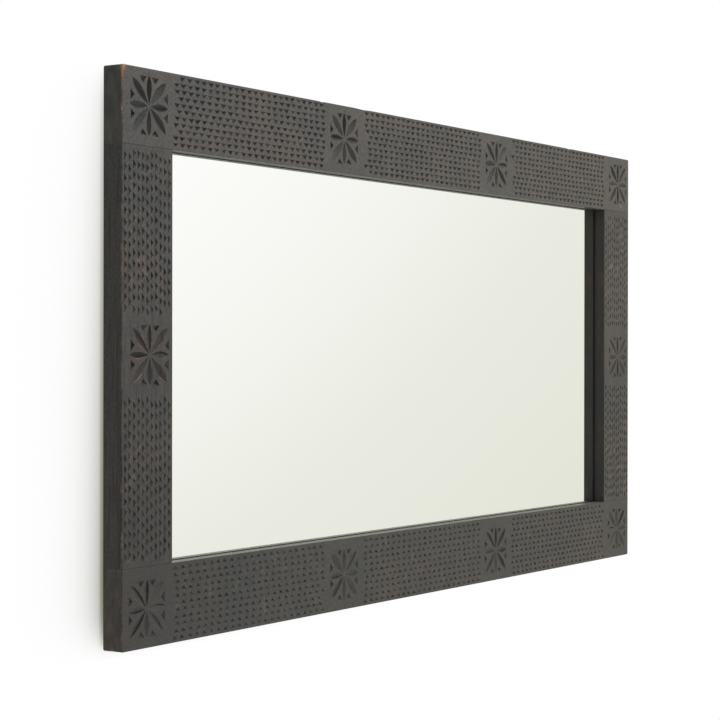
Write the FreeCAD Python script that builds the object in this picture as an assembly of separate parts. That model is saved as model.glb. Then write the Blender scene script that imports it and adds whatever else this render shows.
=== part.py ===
import FreeCAD, Part
import math
import os

# Long wall mirror in a chip-carved hardwood frame, hung by two rings on its back.
# Millimetres. X runs from left to right as seen from the front, Z is up,
# the front looks along -Y and the wall is the plane Y = 0.

Vector = FreeCAD.Vector
TO_WALL = Vector(0, 1, 0)
ALONG_FRAME = Vector(1, 0, 0)

# Outside of the frame
frame_width = 1800.0
frame_height = 900.0
frame_depth = 37.0
stile_width = 124.0
top_rail_width = 121.0
bottom_rail_width = 127.0
arris_radius = 1.5

# Glass, glazing strips and backing board, stacked in a stepped rebate behind the lip
strip_thickness = 1.0
strip_sight_stile = 4.0
strip_sight_rail = 1.2
glass_thickness = 6.0
glass_cover = 10.0
glass_edge_gap = 1.5
backing_thickness = 6.0
backing_ledge = 14.0
backing_edge_gap = 1.0

# Corner joints: rails run through, stiles butt between them on loose tenons
tenon_width = 60.0
tenon_thickness = 12.0
tenon_length = 80.0
tenon_clearance = 0.1
tenon_end_gap = 1.0

# Carved rosettes, one in each corner and at even steps along the rails, one on each stile
rosettes_on_rail = 4
petals_of_each_kind = 4
petal_start = 3.5
straight_petal_reach = 45.0
straight_petal_width = 11.0
diagonal_petal_reach = 56.0
diagonal_petal_width = 13.0
petal_depth = 4.5
side_chip_base = 15.0
side_chip_height = 8.5
side_chip_offset = 14.5
side_chip_reach = 43.0
side_chip_depth = 3.5
carving_overcut = 0.5
cone_overrun = 1.3

# Screws of the backing board
backing_screw_diameter = 3.5
backing_screw_length = 16.0
backing_screw_head = 7.0
backing_screws_long_side = 5
backing_screws_short_side = 2

# Hangers: a strap with a rolled knuckle, two screws and a ring that turns in the knuckle,
# set below the seam between the stile and the top rail
hanger_drop = 79.0
strap_gauge = 1.5
strap_width = 24.0
strap_end_margin = 13.0
strap_corner = 6.0
hanger_screw_diameter = 4.0
hanger_screw_length = 20.0
hanger_screw_head = 8.0
first_screw_drop = 16.0
hanger_screw_spacing = 25.0
ring_wire = 4.0
ring_side_gap = 3.0
ring_corner = 6.0
ring_arm = 3.0
ring_bend_step = 15
knuckle_clearance = 0.3

# Rubber bumpers that keep the hangers off the wall
bumper_diameter = 20.0
bumper_taper = 1.5
bumper_chamfer = 1.0
wall_clearance = 1.4

# Fits and proportions that every screw shares, and the flats that stand for round on small pieces
small_round_sides = 8
bumper_sides = 24
screw_clearance = 0.1
screw_head_ratio = 0.33
screw_crown_ratio = 0.7
screw_tip_ratio = 1.2
screw_point_ratio = 0.2

# Places worked out from the sizes above
half_width = frame_width / 2
half_height = frame_height / 2
knuckle_radius = ring_wire / 2 + knuckle_clearance + strap_gauge
bumper_height = 2 * knuckle_radius + wall_clearance
back_y = -bumper_height
front_y = back_y - frame_depth
backing_y = back_y - backing_thickness
glass_y = backing_y - glass_thickness
lip_y = glass_y - strip_thickness
sight_left = stile_width - half_width
sight_right = half_width - stile_width
sight_bottom = bottom_rail_width - half_height
sight_top = half_height - top_rail_width
backing_cover = glass_cover + backing_ledge
stile_land = stile_width - backing_cover
land_x = half_width - stile_land / 2
hanger_z = sight_top - hanger_drop
axis_y = back_y + knuckle_radius
strap_length = first_screw_drop + hanger_screw_spacing + strap_end_margin
rail_middle_top = half_height - top_rail_width / 2
rail_middle_bottom = bottom_rail_width / 2 - half_height
stile_middle_x = half_width - stile_width / 2
stile_middle_z = (sight_top + sight_bottom) / 2


def block(x_low, x_high, y_low, y_high, z_low, z_high):
    """Box between two corners."""
    size = (x_high - x_low, y_high - y_low, z_high - z_low)
    return Part.makeBox(*size, Vector(x_low, y_low, z_low))


def around_sight(cover, y_low, y_high):
    """Box that covers the sight opening and reaches the same distance past each edge."""
    return block(sight_left - cover, sight_right + cover, y_low, y_high,
                 sight_bottom - cover, sight_top + cover)


def frame_blank():
    """The whole frame as one slab, with its front arrises eased."""
    slab = block(-half_width, half_width, front_y, back_y, -half_height, half_height)
    on_front = [edge for edge in slab.Edges
                if all(abs(vertex.Point.y - front_y) < arris_radius / 2 for vertex in edge.Vertexes)]
    return slab.makeFillet(arris_radius, on_front)


def petal(reach, width):
    """Lens-shaped V-cut along +X: what two upright cones, narrowing into the wood, share."""
    half_length = (reach - petal_start) / 2
    half_petal = width / 2
    radius = (half_length ** 2 + half_petal ** 2) / (2 * half_petal)
    slope = half_petal / petal_depth
    height = carving_overcut + petal_depth * cone_overrun
    mouth = radius + slope * carving_overcut
    cones = []
    for side in (-1, 1):
        centre = Vector(petal_start + half_length, front_y - carving_overcut, side * (radius - half_petal))
        cones.append(Part.makeCone(mouth, mouth - slope * height, height, centre, TO_WALL))
    return cones[0].common(cones[1])


def side_chip(side):
    """Three-sided pit with its base on the rosette's upper side and its point to the centre."""
    base_left = side * side_chip_offset - side_chip_base / 2
    outline = [(base_left, side_chip_reach),
               (base_left + side_chip_base, side_chip_reach),
               (side * side_chip_offset, side_chip_reach - side_chip_height)]
    sink_x = sum(x for x, z in outline) / len(outline)
    sink_z = sum(z for x, z in outline) / len(outline)
    spread = (side_chip_depth + carving_overcut) / side_chip_depth
    rim = [Vector(sink_x + (x - sink_x) * spread, front_y - carving_overcut, sink_z + (z - sink_z) * spread)
           for x, z in outline]
    point = Part.Vertex(Vector(sink_x, front_y + side_chip_depth, sink_z))
    return Part.makeLoft([Part.makePolygon(rim + rim[:1]), point], True, True)


def rosette_cutters():
    """Eight petals and eight side chips around the origin."""
    quarter = 360 / petals_of_each_kind
    motifs = [(petal(straight_petal_reach, straight_petal_width), 0),
              (petal(diagonal_petal_reach, diagonal_petal_width), quarter / 2),
              (side_chip(-1), 0),
              (side_chip(1), 0)]
    cutters = []
    for motif, first_turn in motifs:
        for index in range(petals_of_each_kind):
            cutter = motif.copy()
            cutter.rotate(Vector(0, 0, 0), TO_WALL, first_turn + index * quarter)
            cutters.append(cutter)
    return cutters


def carve(member, centres, cutters):
    """Cut one rosette at each centre, given as X and Z."""
    tools = []
    for x, z in centres:
        for cutter in cutters:
            tool = cutter.copy()
            tool.translate(Vector(x, 0, z))
            tools.append(tool)
    return member.cut(tools)


def tenon(side, seam_z, clearance, end_gap):
    """Flat loose tenon across the seam between a stile and a rail, grown by its clearance for the mortise."""
    half_tenon = tenon_width / 2 + clearance
    half_thickness = tenon_thickness / 2 + clearance
    half_length = tenon_length / 2 + end_gap
    middle_y = (front_y + back_y) / 2
    return block(side * land_x - half_tenon, side * land_x + half_tenon,
                 middle_y - half_thickness, middle_y + half_thickness,
                 seam_z - half_length, seam_z + half_length)


def flat_face(corners):
    """Flat face inside a closed row of corners."""
    return Part.Face(Part.makePolygon(corners + corners[:1]))


def bands(rims):
    """Flat faces between each closed row of corners and the next."""
    faces = []
    for near, far in zip(rims, rims[1:]):
        for index in range(len(near)):
            faces.append(flat_face([near[index - 1], near[index], far[index], far[index - 1]]))
    return faces


def faceted(x, z, sides, stations):
    """Solid along Y with flat sides, through regular polygons given as pairs of Y and radius."""
    turns = [2 * math.pi * index / sides for index in range(sides)]
    rims = [[Vector(x + radius * math.cos(turn), y, z + radius * math.sin(turn)) for turn in turns]
            for y, radius in stations]
    return Part.Solid(Part.makeShell(bands(rims) + [flat_face(rims[0]), flat_face(rims[-1])]))


def screw(x, seat_y, z, diameter, length, head):
    """Pan-headed wood screw driven towards the front, its head resting on the plane Y = seat_y."""
    radius = diameter / 2
    point_y = seat_y - length
    return faceted(x, z, small_round_sides, [
        (point_y, radius * screw_point_ratio),
        (point_y + diameter * screw_tip_ratio, radius),
        (seat_y, radius),
        (seat_y, head / 2),
        (seat_y + head * screw_head_ratio, head / 2 * screw_crown_ratio)])


def screw_hole(x, seat_y, z, diameter, length):
    """Pilot hole for a screw, from its seat to a little past its point."""
    radius = diameter / 2 + screw_clearance
    return faceted(x, z, small_round_sides, [(seat_y - length - screw_clearance, radius), (seat_y, radius)])


def backing_screw_places():
    """X and Z of the backing screws, midway across the ledge of the stepped rebate."""
    inset = (backing_cover + glass_cover) / 2
    places = []
    step = (sight_right - sight_left) / backing_screws_long_side
    for index in range(backing_screws_long_side):
        x = sight_left + step * (index + 0.5)
        places += [(x, sight_top + inset), (x, sight_bottom - inset)]
    step = (sight_top - sight_bottom) / backing_screws_short_side
    for index in range(backing_screws_short_side):
        z = sight_bottom + step * (index + 0.5)
        places += [(sight_left - inset, z), (sight_right + inset, z)]
    return places


def hanger_screw_places(side):
    """X and Z of the two screws of one hanger."""
    upper_z = hanger_z - first_screw_drop
    return [(side * land_x, upper_z), (side * land_x, upper_z - hanger_screw_spacing)]


def hanger_strap(side):
    """Flat strap with a rolled knuckle at its top, lying on the back of the stile."""
    left = side * land_x - strap_width / 2
    plate = block(left, left + strap_width, back_y, back_y + strap_gauge, hanger_z - strap_length, hanger_z)
    lower = [edge for edge in plate.Edges
             if all(vertex.Point.z < hanger_z - strap_length / 2 for vertex in edge.Vertexes)
             and abs(edge.Length - strap_gauge) < strap_gauge / 2]
    plate = plate.makeFillet(strap_corner, lower)
    start = Vector(left, axis_y, hanger_z)
    barrel = Part.makeCylinder(knuckle_radius, strap_width, start, ALONG_FRAME)
    eye = Part.makeCylinder(ring_wire / 2 + knuckle_clearance, strap_width, start, ALONG_FRAME)
    holes = [screw_hole(x, back_y + strap_gauge, z, hanger_screw_diameter, hanger_screw_length)
             for x, z in hanger_screw_places(side)]
    return plate.fuse(barrel).removeSplitter().cut([eye] + holes)


def wire_rim(bend_centre, bend_radius, turn):
    """Corners of the ring's wire, at an angle in degrees round the centre of a bend."""
    outwards = Vector(math.cos(math.radians(turn)), 0, math.sin(math.radians(turn)))
    middle = bend_centre + outwards * bend_radius
    arounds = [2 * math.pi * index / small_round_sides for index in range(small_round_sides)]
    return [middle + (outwards * math.cos(around) + TO_WALL * math.sin(around)) * (ring_wire / 2)
            for around in arounds]


def hanger_ring(side):
    """Ring of wire with a straight side in the knuckle, standing up as when it is hung."""
    straight = strap_width / 2 + ring_side_gap
    half_ring = straight + ring_corner
    shoulder = ring_corner + ring_arm
    bends = [(0, shoulder, half_ring, 0, 180),
             (-straight, ring_corner, ring_corner, 180, 270),
             (straight, ring_corner, ring_corner, 270, 360)]
    rims = []
    for x, z, radius, first_turn, last_turn in bends:
        centre = Vector(side * land_x + x, axis_y, hanger_z + z)
        for turn in range(first_turn, last_turn + ring_bend_step, ring_bend_step):
            rims.append(wire_rim(centre, radius, turn))
    return Part.Solid(Part.makeShell(bands(rims + rims[:1])))


def bumper(side, level):
    """Round rubber pad stuck to the back of a corner, tapering to the face that meets the wall."""
    rail_width = top_rail_width if level > 0 else bottom_rail_width
    z = level * (half_height - (rail_width - backing_cover) / 2)
    foot = bumper_diameter / 2
    return faceted(side * land_x, z, bumper_sides, [
        (back_y, foot),
        (back_y + bumper_height - bumper_chamfer, foot - bumper_taper),
        (back_y + bumper_height, foot - bumper_taper - bumper_chamfer)])


def frame_members():
    """The four carved boards, each cut from the blank and fitted for glass, tenons and screws."""
    blank = frame_blank()
    rebates = [around_sight(glass_cover, lip_y, back_y), around_sight(backing_cover, backing_y, back_y)]
    mortises = [tenon(side, seam, tenon_clearance, tenon_end_gap)
                for seam in (sight_top, sight_bottom) for side in (-1, 1)]
    backing_holes = [screw_hole(x, back_y, z, backing_screw_diameter, backing_screw_length)
                     for x, z in backing_screw_places()]
    hanger_holes = [screw_hole(x, back_y + strap_gauge, z, hanger_screw_diameter, hanger_screw_length)
                    for side in (-1, 1) for x, z in hanger_screw_places(side)]
    step = 2 * stile_middle_x / (rosettes_on_rail - 1)
    along_rail = [index * step - stile_middle_x for index in range(rosettes_on_rail)]
    cutters = rosette_cutters()
    plan = {
        "top_rail": ((-half_width, half_width, sight_top, half_height),
                     [(x, rail_middle_top) for x in along_rail]),
        "bottom_rail": ((-half_width, half_width, -half_height, sight_bottom),
                        [(x, rail_middle_bottom) for x in along_rail]),
        "left_stile": ((-half_width, sight_left, sight_bottom, sight_top),
                       [(-stile_middle_x, stile_middle_z)]),
        "right_stile": ((sight_right, half_width, sight_bottom, sight_top),
                        [(stile_middle_x, stile_middle_z)])}
    members = {}
    for name, ((x_low, x_high, z_low, z_high), centres) in plan.items():
        board = blank.common(block(x_low, x_high, front_y, back_y, z_low, z_high))
        board = board.cut(rebates + mortises + backing_holes + hanger_holes)
        members[name] = carve(board, centres, cutters)
    return members


def glazing_strips():
    """Thin dark strips between the lip and the glass; top and bottom ones run through."""
    reach = glass_cover - glass_edge_gap
    left = sight_left - reach
    right = sight_right + reach
    low = sight_bottom + strip_sight_rail
    high = sight_top - strip_sight_rail
    return {
        "glazing_strip_top": block(left, right, lip_y, glass_y, high, sight_top + reach),
        "glazing_strip_bottom": block(left, right, lip_y, glass_y, sight_bottom - reach, low),
        "glazing_strip_left": block(left, sight_left + strip_sight_stile, lip_y, glass_y, low, high),
        "glazing_strip_right": block(sight_right - strip_sight_stile, right, lip_y, glass_y, low, high)}


def mirror_pane():
    """Silvered glass."""
    return around_sight(glass_cover - glass_edge_gap, glass_y, backing_y)


def backing_board():
    """Board that closes the back, flush with the frame and drilled for its screws."""
    board = around_sight(backing_cover - backing_edge_gap, backing_y, back_y)
    return board.cut([screw_hole(x, back_y, z, backing_screw_diameter, backing_screw_length)
                      for x, z in backing_screw_places()])


def build():
    """Every node of the mirror by name."""
    nodes = frame_members()
    nodes.update(glazing_strips())
    nodes["mirror_pane"] = mirror_pane()
    nodes["backing_board"] = backing_board()
    nodes["backing_screws"] = Part.makeCompound([
        screw(x, back_y, z, backing_screw_diameter, backing_screw_length, backing_screw_head)
        for x, z in backing_screw_places()])
    for side, side_name in ((-1, "left"), (1, "right")):
        nodes["hanger_strap_" + side_name] = hanger_strap(side)
        nodes["hanger_ring_" + side_name] = hanger_ring(side)
        nodes["hanger_screws_" + side_name] = Part.makeCompound([
            screw(x, back_y + strap_gauge, z, hanger_screw_diameter, hanger_screw_length, hanger_screw_head)
            for x, z in hanger_screw_places(side)])
        for level, level_name in ((1, "top"), (-1, "bottom")):
            seam = sight_top if level > 0 else sight_bottom
            corner = level_name + "_" + side_name
            nodes["loose_tenon_" + corner] = tenon(side, seam, 0, 0)
            nodes["wall_bumper_" + corner] = bumper(side, level)
    return nodes


os.makedirs("parts", exist_ok=True)
for node_name, node_shape in build().items():
    node_shape.exportStep("parts/" + node_name + ".step")
    print(node_name, len(node_shape.Solids), "solids", round(node_shape.Volume / 1000, 2), "cm3",
          "valid" if node_shape.isValid() else "INVALID")
print("sight opening", sight_right - sight_left, "by", sight_top - sight_bottom)
print("reveal depth", lip_y - front_y, "wall gap", bumper_height)
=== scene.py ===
# %% [markdown]
# # A chip-carved wall mirror
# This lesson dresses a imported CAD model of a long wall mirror. The CAD model fixes every size and place,
# and the cells below give it the looks: boards with over two thousand hand-cut pits, dark satin stain
# worn through at the edges, silvered glass, and the steel and rubber fittings of the back.

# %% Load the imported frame
import math
import random
from collections import namedtuple

import bmesh
import bpy
from mathutils import Matrix, Vector


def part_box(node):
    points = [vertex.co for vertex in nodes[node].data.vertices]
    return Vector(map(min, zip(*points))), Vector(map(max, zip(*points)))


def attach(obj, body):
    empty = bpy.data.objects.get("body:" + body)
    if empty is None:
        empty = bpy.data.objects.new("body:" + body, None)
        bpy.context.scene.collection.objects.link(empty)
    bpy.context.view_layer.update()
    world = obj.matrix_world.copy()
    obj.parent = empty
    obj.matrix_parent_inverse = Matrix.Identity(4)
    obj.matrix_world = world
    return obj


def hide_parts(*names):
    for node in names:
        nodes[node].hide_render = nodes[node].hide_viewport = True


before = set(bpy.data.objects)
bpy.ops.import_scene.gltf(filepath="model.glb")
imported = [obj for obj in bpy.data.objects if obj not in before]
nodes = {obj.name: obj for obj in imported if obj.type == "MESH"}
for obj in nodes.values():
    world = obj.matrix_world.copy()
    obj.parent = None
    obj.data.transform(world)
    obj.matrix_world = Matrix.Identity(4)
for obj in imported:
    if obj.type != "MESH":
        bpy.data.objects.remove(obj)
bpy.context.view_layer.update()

MM = 0.001

# %% [markdown]
# ## Sizes
# Everything is measured from the boxes of the CAD nodes, so the looks follow the model if it is packed
# again. The front of all four boards is one plane. The rails run the full width, and the stiles stand
# between them.

# %% Measure the boards
top_low, top_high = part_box("top_rail")
bottom_low, bottom_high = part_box("bottom_rail")
left_low, left_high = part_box("left_stile")
right_low, right_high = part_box("right_stile")
FRONT_Y = top_low.y
BACK_Y = top_high.y
LIP_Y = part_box("glazing_strip_top")[0].y
BACKING_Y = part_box("backing_board")[0].y
STILE_WIDTH = left_high.x - left_low.x
CORNER_PLACE = top_high.x - STILE_WIDTH / 2
print("front plane %.1f mm, reveal %.1f mm deep" % (FRONT_Y / MM, (LIP_Y - FRONT_Y) / MM))

# %% [markdown]
# ## Materials
# A few helpers keep the node trees short. `add_node` makes one node, sets its values and links whatever
# is given as a socket, and `new_finish` starts a material from one principled shader.

# %% Helpers for node trees
def add_node(tree, kind, inputs=None, **settings):
    """One node, with its settings, and its inputs set or linked."""
    made = tree.nodes.new(kind)
    for name, value in settings.items():
        setattr(made, name, value)
    for name, value in (inputs or {}).items():
        if isinstance(value, bpy.types.NodeSocket):
            tree.links.new(value, made.inputs[name])
        else:
            made.inputs[name].default_value = value
    return made


def new_finish(name, **sockets):
    """A material with one principled shader. Words of a socket's name are joined by an underscore."""
    material = bpy.data.materials.new(name)
    material.use_nodes = True
    shader = material.node_tree.nodes["Principled BSDF"]
    for socket, value in sockets.items():
        shader.inputs[socket.replace("_", " ")].default_value = value
    return material, material.node_tree, shader


print("node helpers ready")

# %% [markdown]
# ## Patterns
# Every pattern reads Object coordinates, because the pieces sit at the origin with their place in the
# mesh, so a pattern never slides when a piece moves. Noise comes out around 0.5, and `between` spreads
# the stretch of it that is wanted over another one. Colours are blended by such a value.

# %% Helpers for patterns
def object_place(tree):
    """The place on the piece, in the frame of the CAD model."""
    return add_node(tree, "ShaderNodeTexCoord").outputs["Object"]


def noise_on(tree, scale, stretch=(1, 1, 1), detail=4.0, rough=0.55, shift=(0, 0, 0)):
    """Noise on Object coordinates, drawn out along an axis whose stretch is small. Returns its value."""
    mapping = add_node(tree, "ShaderNodeMapping", {"Vector": object_place(tree), "Scale": stretch,
                                                   "Location": shift})
    noise = add_node(tree, "ShaderNodeTexNoise", {"Vector": mapping.outputs["Vector"], "Scale": scale,
                                                  "Detail": detail, "Roughness": rough})
    return noise.outputs["Fac"]


def between(tree, value, low, high, to_low=0.0, to_high=1.0):
    """Spread the stretch from low to high over the stretch from to_low to to_high, and clamp it."""
    spread = add_node(tree, "ShaderNodeMapRange", {"Value": value, "From Min": low, "From Max": high,
                                                   "To Min": to_low, "To Max": to_high})
    return spread.outputs["Result"]


def joined(tree, first, second, operation="MULTIPLY"):
    """Two values multiplied, or joined by another operation."""
    return add_node(tree, "ShaderNodeMath", {0: first, 1: second}, operation=operation).outputs["Value"]


def blend_colours(tree, share, first, second):
    """From the first colour to the second as the share goes from 0 to 1."""
    mixed = add_node(tree, "ShaderNodeMix", data_type="RGBA")
    for socket, value in ((mixed.inputs[0], share), (mixed.inputs[6], first), (mixed.inputs[7], second)):
        if isinstance(value, bpy.types.NodeSocket):
            tree.links.new(value, socket)
        else:
            socket.default_value = value
    return mixed.outputs[2]


def mesh_value(tree, name):
    """A number that the mesh carries on its points or faces."""
    return add_node(tree, "ShaderNodeAttribute", attribute_name=name).outputs["Fac"]


def distance_from(tree, place):
    """How far a point of the piece is from this place."""
    ends = {0: object_place(tree), 1: place}
    return add_node(tree, "ShaderNodeVectorMath", ends, operation="DISTANCE").outputs["Value"]


def relief(tree, shader, height, strength, distance):
    """Bump from a height value, linked to the shader's normal."""
    bump = add_node(tree, "ShaderNodeBump", {"Height": height, "Strength": strength, "Distance": distance})
    tree.links.new(bump.outputs["Normal"], shader.inputs["Normal"])


print("pattern helpers ready")

# %% [markdown]
# ## Worn stain
# Hands have rubbed the stain pale along the arrises and the ridges of the rosettes, and in places down to
# the bare wood. This could be painted on a texture, but paint would not follow the carving if a size
# changed. Instead the mesh carries a number, `wear`, which is highest on an edge that hands touch, and
# two kinds of noise break it up: one into stretches of some centimetres, one into specks. Three bare
# spots are given by their places.

# %% Worn stain
STAIN_RUBBED = (0.115, 0.079, 0.058, 1)
BARE_WOOD = (0.33, 0.155, 0.072, 1)
RUBBED_FROM = 0.72
RUBBED_TO = 1.0
BARE_FROM = 1.08
BARE_TO = 1.4
BARE_SPOTS = (((0.86, FRONT_Y, 0.343), 11 * MM), ((-0.9, FRONT_Y + 3 * MM, 0.449), 13 * MM),
              ((-0.9, FRONT_Y + 20 * MM, -0.449), 10 * MM))
BARE_SHARE = 0.75
STRETCHES = {"scale": 32, "detail": 3}
STRETCH_SPREAD = (0.42, 0.6, 0.55, 1.2)
SPECKS = {"scale": 200, "detail": 5, "rough": 0.7}


def rubbed_through(tree, stain):
    """Stain that is rubbed pale and then down to bare wood where the mesh is worn."""
    worn = joined(tree, mesh_value(tree, "wear"), between(tree, noise_on(tree, **STRETCHES), *STRETCH_SPREAD))
    for place, size in BARE_SPOTS:
        spot = between(tree, distance_from(tree, place), size, 0.0, 0.0, BARE_SHARE)
        worn = joined(tree, worn, spot, "ADD")
    rubbed = joined(tree, worn, noise_on(tree, **SPECKS), "ADD")
    pale = blend_colours(tree, between(tree, rubbed, RUBBED_FROM, RUBBED_TO), stain, STAIN_RUBBED)
    return blend_colours(tree, between(tree, rubbed, BARE_FROM, BARE_TO), pale, BARE_WOOD)


print(len(BARE_SPOTS), "bare spots")

# %% [markdown]
# ## Dark stained wood
# The boards are an open-grained hardwood under a dark satin stain. The stain is finely mottled, thin
# enough to let brown through in soft patches. Its colour is a little warmer towards the right end of the
# frame, which is painted warm light, and darker at the lower left, which is painted shade. The cuts are
# darker too, where a second number on the mesh, `cut`, says so: partly stain pooled there and partly
# painted shade. An image of wood could be laid on, but its repeats would show and it would break at every
# arris. Noise drawn out along the board gives the grain all through, and a finer one its pores. One
# function serves all four boards, with a tone for each that paints whole boards lighter or darker as
# painted light and shade: the top rail lighter, the bottom rail and the right stile darker. The left stile
# also has dark streaks along its grain, and the narrow reveals around the glass have finishes of their
# own: a pale olive on the rails that is painted sheen from the glass, and a plain grey on the stiles.

# %% Colours and patterns of the stain
STAIN = (0.0485, 0.0473, 0.047)
# Warmer stain colour for the right end of the frame: painted warm light.
STAIN_WARM_LIT = (0.0535, 0.0445, 0.033)
STAIN_DEEP = (0.032, 0.0315, 0.031)
STAIN_BROWN = (0.078, 0.057, 0.046)
# Dark of pooled stain and painted shade, for the cuts, the painted lower-left shade and the streaks.
POOLED_STAIN_AND_SHADE = (0.016, 0.0155, 0.0145)
# Pale olive for the rails' reveals: painted sheen of the glass at a grazing angle.
OLIVE_PAINTED_SHEEN = (0.13, 0.127, 0.09)
STAIN_GREY = (0.037, 0.0375, 0.039)
WARM_LIGHT_FROM = -0.7
WARM_LIGHT_TO = 0.8
BROWN_PLACES = (((-0.56, FRONT_Y, 0.36), 0.16), ((0.8, FRONT_Y, 0.13), 0.2), ((-0.85, FRONT_Y, -0.2), 0.3))
BROWN_SHARE = 0.7
# Painted shade on the front at the lower left.
SHADE_PLACE = (-0.88, FRONT_Y, -0.28)
SHADE_SPAN = 0.45
SHADE_SHARE = 0.52
SHADE_FULL_Y = FRONT_Y + 6 * MM
SHADE_END_Y = FRONT_Y + 12 * MM
GRAIN = {"scale": 150, "detail": 5}
GRAIN_DRAWN = 0.05
GRAIN_SPREAD = (0.35, 0.65)
MOTTLE = {"scale": 210, "detail": 3, "rough": 0.6}
MOTTLE_SPREAD = (0.3, 0.7, -0.8, 0.8)
PATCHES = {"scale": 13, "detail": 5, "rough": 0.62, "shift": (1.7, 0, 0.4)}
PATCH_SPREAD = (0.46, 0.70)
THIN_SPREAD = (0.3, 0.7, 0.2, 0.65)
STREAKS = {"scale": 260, "detail": 3}
STREAK_SPREAD = (0.5, 0.66, 0.0)
PORES = {"scale": 520, "detail": 2}
PORES_DRAWN = 0.025
PORE_SPREAD = (0.58, 0.70)
PORE_SINK = -0.6
SATIN_SPREAD = (0.3, 0.7, 0.40, 0.50)
DULL_IN_CUTS = 0.25
GRAIN_RELIEF = (0.32, 0.6 * MM)
WOOD_IOR = 1.45
print(len(BROWN_PLACES), "brown places")

# %% Stained wood
ALONG_X = 0
ALONG_Z = 2


def drawn_out(along, share):
    """Stretch of a pattern that is drawn out along one axis."""
    return [share if axis == along else 1.0 for axis in range(3)]


def stained_wood(name, along, tone, left=STAIN, right=STAIN_WARM_LIT, streaky=0.0):
    """Dark stain on wood with its grain along one axis. A higher tone paints the whole board lighter and a
    lower one darker, as painted light and shade. The colour goes from left to right along the frame, warmer
    to the right as painted warm light. A streaky board has dark lines along its grain."""
    material, tree, shader = new_finish(name, IOR=WOOD_IOR)
    even, warm_lit, deep, brown, pooled_and_shaded = [[part * tone for part in colour] + [1] for colour in
                                       (left, right, STAIN_DEEP, STAIN_BROWN, POOLED_STAIN_AND_SHADE)]
    cut = mesh_value(tree, "cut")
    parts = add_node(tree, "ShaderNodeSeparateXYZ", {"Vector": object_place(tree)}).outputs
    lines = drawn_out(along, GRAIN_DRAWN)
    grain = noise_on(tree, stretch=lines, **GRAIN)
    mottled = joined(tree, grain, between(tree, noise_on(tree, **MOTTLE), *MOTTLE_SPREAD), "ADD")
    # Warmer towards the right end of the frame: painted warm light.
    warm_lit_stain = blend_colours(tree, between(tree, parts["X"], WARM_LIGHT_FROM, WARM_LIGHT_TO), even, warm_lit)
    streaks = blend_colours(tree, between(tree, mottled, *GRAIN_SPREAD), deep, warm_lit_stain)
    patches = between(tree, noise_on(tree, **PATCHES), *PATCH_SPREAD)
    for place, span in BROWN_PLACES:
        near = between(tree, distance_from(tree, place), span, 0.0, 0.0, BROWN_SHARE)
        patches = joined(tree, patches, near, "ADD")
    thin = joined(tree, patches, between(tree, grain, *THIN_SPREAD))
    browned = blend_colours(tree, thin, streaks, brown)
    # Darker at the lower left of the front: painted shade.
    near = between(tree, distance_from(tree, SHADE_PLACE), SHADE_SPAN, 0.0, 0.0, SHADE_SHARE)
    lower_left_shade = joined(tree, near, between(tree, parts["Y"], SHADE_END_Y, SHADE_FULL_Y))
    sunk_in = between(tree, noise_on(tree, stretch=lines, **STREAKS), *STREAK_SPREAD, streaky)
    # Darker in the cuts (pooled stain and painted shade), in the painted lower-left shade and in the streaks.
    pooling_and_shade = joined(tree, cut, joined(tree, lower_left_shade, sunk_in, "ADD"), "ADD")
    stain = blend_colours(tree, pooling_and_shade, browned, pooled_and_shaded)
    tree.links.new(rubbed_through(tree, stain), shader.inputs["Base Color"])
    satin = joined(tree, between(tree, grain, *SATIN_SPREAD), joined(tree, cut, DULL_IN_CUTS), "ADD")
    tree.links.new(satin, shader.inputs["Roughness"])
    pores = between(tree, noise_on(tree, stretch=drawn_out(along, PORES_DRAWN), **PORES), *PORE_SPREAD)
    surface = joined(tree, grain, joined(tree, pores, PORE_SINK), "ADD")
    relief(tree, shader, surface, *GRAIN_RELIEF)
    return material


# The tones paint light and shade on whole boards: the top rail lighter, the bottom rail and right stile
# darker.
wood = {"top_rail": stained_wood("stained_wood_top", ALONG_X, tone=1.18),
        "bottom_rail": stained_wood("stained_wood_bottom", ALONG_X, tone=0.85),
        "left_stile": stained_wood("stained_wood_left", ALONG_Z, tone=1.0, streaky=0.75),
        "right_stile": stained_wood("stained_wood_right", ALONG_Z, tone=0.8)}
# The rails' reveals are a pale olive: painted sheen of the glass and the bright surround at a grazing angle.
rail_reveal_sheen = stained_wood("rail_reveal_painted_sheen", ALONG_X, 1.0, OLIVE_PAINTED_SHEEN, OLIVE_PAINTED_SHEEN)
stile_reveal = stained_wood("stained_stile_reveal", ALONG_Z, 1.0, STAIN_GREY, STAIN_GREY)
print(len(wood), "finishes for the boards and 2 for the reveals")

# %% [markdown]
# ## The rail ends
# At the left and right sides of the frame the rails show their end grain. It takes the stain unevenly,
# with small rings and pores in place of long streaks, so it has a pattern of its own. The ends of the
# bottom rail came out browner than those of the top rail, so each rail has its two colours.

# %% End grain
END_COLOURS = {"top_rail": ((0.037, 0.036, 0.0335, 1), (0.077, 0.0725, 0.065, 1)),
               "bottom_rail": ((0.041, 0.036, 0.032, 1), (0.093, 0.077, 0.066, 1))}
YEAR_RINGS = {"scale": 95, "stretch": (1, 1.0, 0.3), "detail": 6, "rough": 0.65}
YEAR_RING_SPREAD = (0.36, 0.66)
END_ROUGHNESS = 0.55
END_RELIEF = (0.4, 0.6 * MM)


def end_grain(name, dark, light):
    """Stain on the sawn ends of a rail."""
    material, tree, shader = new_finish(name, IOR=WOOD_IOR, Roughness=END_ROUGHNESS)
    rings = noise_on(tree, **YEAR_RINGS)
    stain = blend_colours(tree, between(tree, rings, *YEAR_RING_SPREAD), dark, light)
    tree.links.new(rubbed_through(tree, stain), shader.inputs["Base Color"])
    relief(tree, shader, rings, *END_RELIEF)
    return material


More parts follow.
